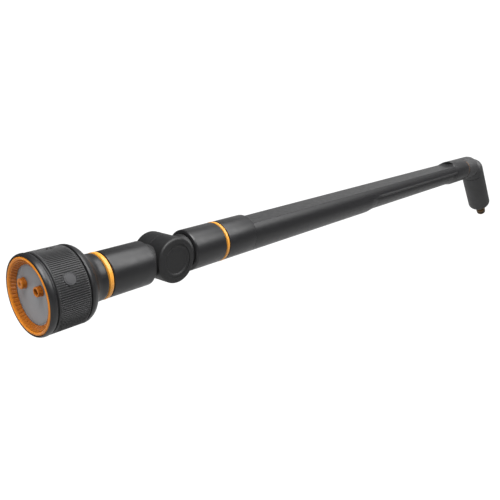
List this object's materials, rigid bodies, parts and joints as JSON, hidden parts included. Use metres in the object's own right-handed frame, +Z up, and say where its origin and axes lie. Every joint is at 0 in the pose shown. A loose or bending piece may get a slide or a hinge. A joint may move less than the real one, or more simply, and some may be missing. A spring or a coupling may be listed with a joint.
{
  "type": "watering wand",
  "caption": "Garden watering wand with a turret spray head, a tilting head knuckle, a long flat-topped tube and an angled grip with a hose plug.",
  "frame": {"origin": "centre of the angled hand grip, on the grip's own axis", "axes": "+X along the straight tube from the spray head towards the grip, +Z up with the tube's flat top facing up, -Y the side of the knuckle's near cap"},
  "size_m": [1.0552, 0.0684, 0.1491],
  "materials": {
    "shell_black": "fine satin moulded, charcoal black",
    "ribbed_black": "finely ribbed soft grip, charcoal",
    "inner_black": "plain moulded black",
    "accent_orange": "bright orange moulded",
    "face_orange": "deep orange moulded",
    "plate_grey": "smooth mid grey",
    "pad_grey": "smooth dark grey",
    "seal_rubber": "black nitrile",
    "carrier_white": "natural acetal",
    "steel": "bright stainless",
    "brass": "dark aged brass",
    "pipe_aluminium": "drawn tube"
  },
  "bodies": {
    "handle": {"rear_knuckle": "shell_black", "near_knuckle_cap": "shell_black", "pivot_spindle": "carrier_white", "spindle_nut": "steel", "friction_washer": "seal_rubber", "near_pivot_seal": "seal_rubber", "far_pivot_seal": "seal_rubber", "rear_tube": "shell_black", "mid_accent_ring": "accent_orange", "front_collar": "shell_black", "main_shell": "shell_black", "lower_cover": "shell_black", "water_tube": "pipe_aluminium", "water_tube_front_seal": "seal_rubber", "water_tube_rear_seal": "seal_rubber", "tube_spacer_1": "inner_black", "tube_spacer_2": "inner_black", "tube_spacer_3": "inner_black", "rear_collar": "shell_black", "rear_accent_ring": "accent_orange", "elbow": "shell_black", "grip_sleeve": "shell_black", "grip_tube": "pipe_aluminium", "grip_tube_upper_seal": "seal_rubber", "grip_tube_lower_seal": "seal_rubber", "plug_retainer": "inner_black", "hose_plug": "brass", "plug_o_ring": "seal_rubber", "inlet_filter": "steel"},
    "head_arm": {"head_housing": "shell_black", "selector_seal": "seal_rubber", "detent_ball": "steel", "detent_spring": "steel", "front_accent_ring": "accent_orange", "neck_seal": "seal_rubber", "front_tube": "shell_black", "front_knuckle": "shell_black", "far_knuckle_cap": "shell_black"},
    "spray_turret": {"bezel_ring": "shell_black", "face_ring": "face_orange", "spray_plate": "plate_grey", "jet_nozzle": "face_orange", "mist_nozzle": "face_orange", "grip_ring": "ribbed_black", "badge_pad": "pad_grey", "index_mark": "inner_black", "turret_body": "carrier_white", "selector_disc": "carrier_white", "turret_screw": "steel"}
  },
  "joints": [
    {"name": "head_tilt", "type": "hinge", "parent": "handle", "child": "head_arm", "pos_m": [-0.86061, 0, 0.05267], "axis": [0, 1, 0], "range_deg": [-90, 90]},
    {"name": "spray_select", "type": "hinge", "parent": "head_arm", "child": "spray_turret", "pos_m": [-0.978, 0, 0.05267], "axis": [1, 0, 0], "continuous": true}
  ]
}
